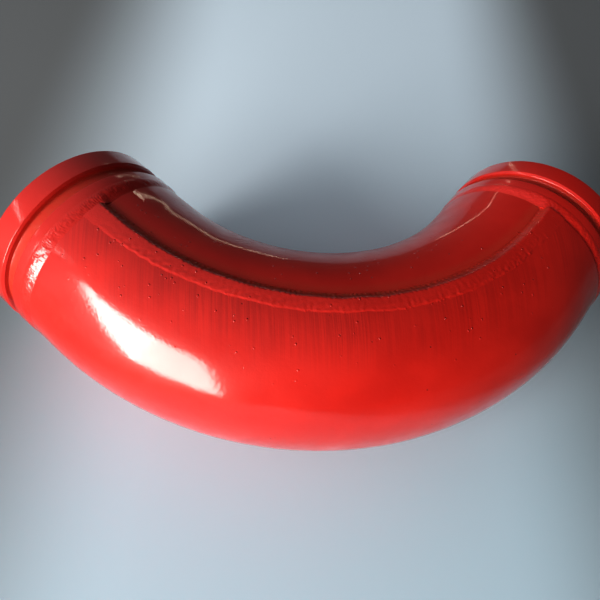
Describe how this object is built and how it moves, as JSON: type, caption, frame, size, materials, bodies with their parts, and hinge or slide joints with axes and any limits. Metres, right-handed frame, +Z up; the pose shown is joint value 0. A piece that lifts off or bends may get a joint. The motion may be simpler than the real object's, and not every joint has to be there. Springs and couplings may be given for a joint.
{
  "type": "concrete delivery pipe elbow with grooved ends",
  "caption": "Right-angle twin-wall elbow for a concrete delivery line: thick welded back shell, hardened liner and a grooved coupling collar on each end.",
  "frame": {"origin": "centre of the inlet's end face", "axes": "+X along the inlet, into the elbow; +Y along the outlet, out of the elbow; +Z up, square to the plane of the bend"},
  "size_m": [0.349, 0.349, 0.148],
  "materials": {
    "red_paint_shell": "gloss",
    "red_paint_inner_shell": "gloss",
    "red_paint_weld": "gloss",
    "red_paint_collar": "gloss",
    "hard_liner": "as cast",
    "wear_ring_steel": "turned",
    "mortar": "matt"
  },
  "bodies": {
    "root": {"wear_liner": "hard_liner", "mortar_layer": "mortar", "back_shell": "red_paint_shell", "inner_bend_shell": "red_paint_inner_shell", "seam_weld_upper": "red_paint_weld", "seam_weld_lower": "red_paint_weld", "inlet_collar": "red_paint_collar", "outlet_collar": "red_paint_collar", "inlet_wear_ring": "wear_ring_steel", "outlet_wear_ring": "wear_ring_steel", "inlet_collar_weld": "red_paint_weld", "outlet_collar_weld": "red_paint_weld"}
  },
  "joints": []
}
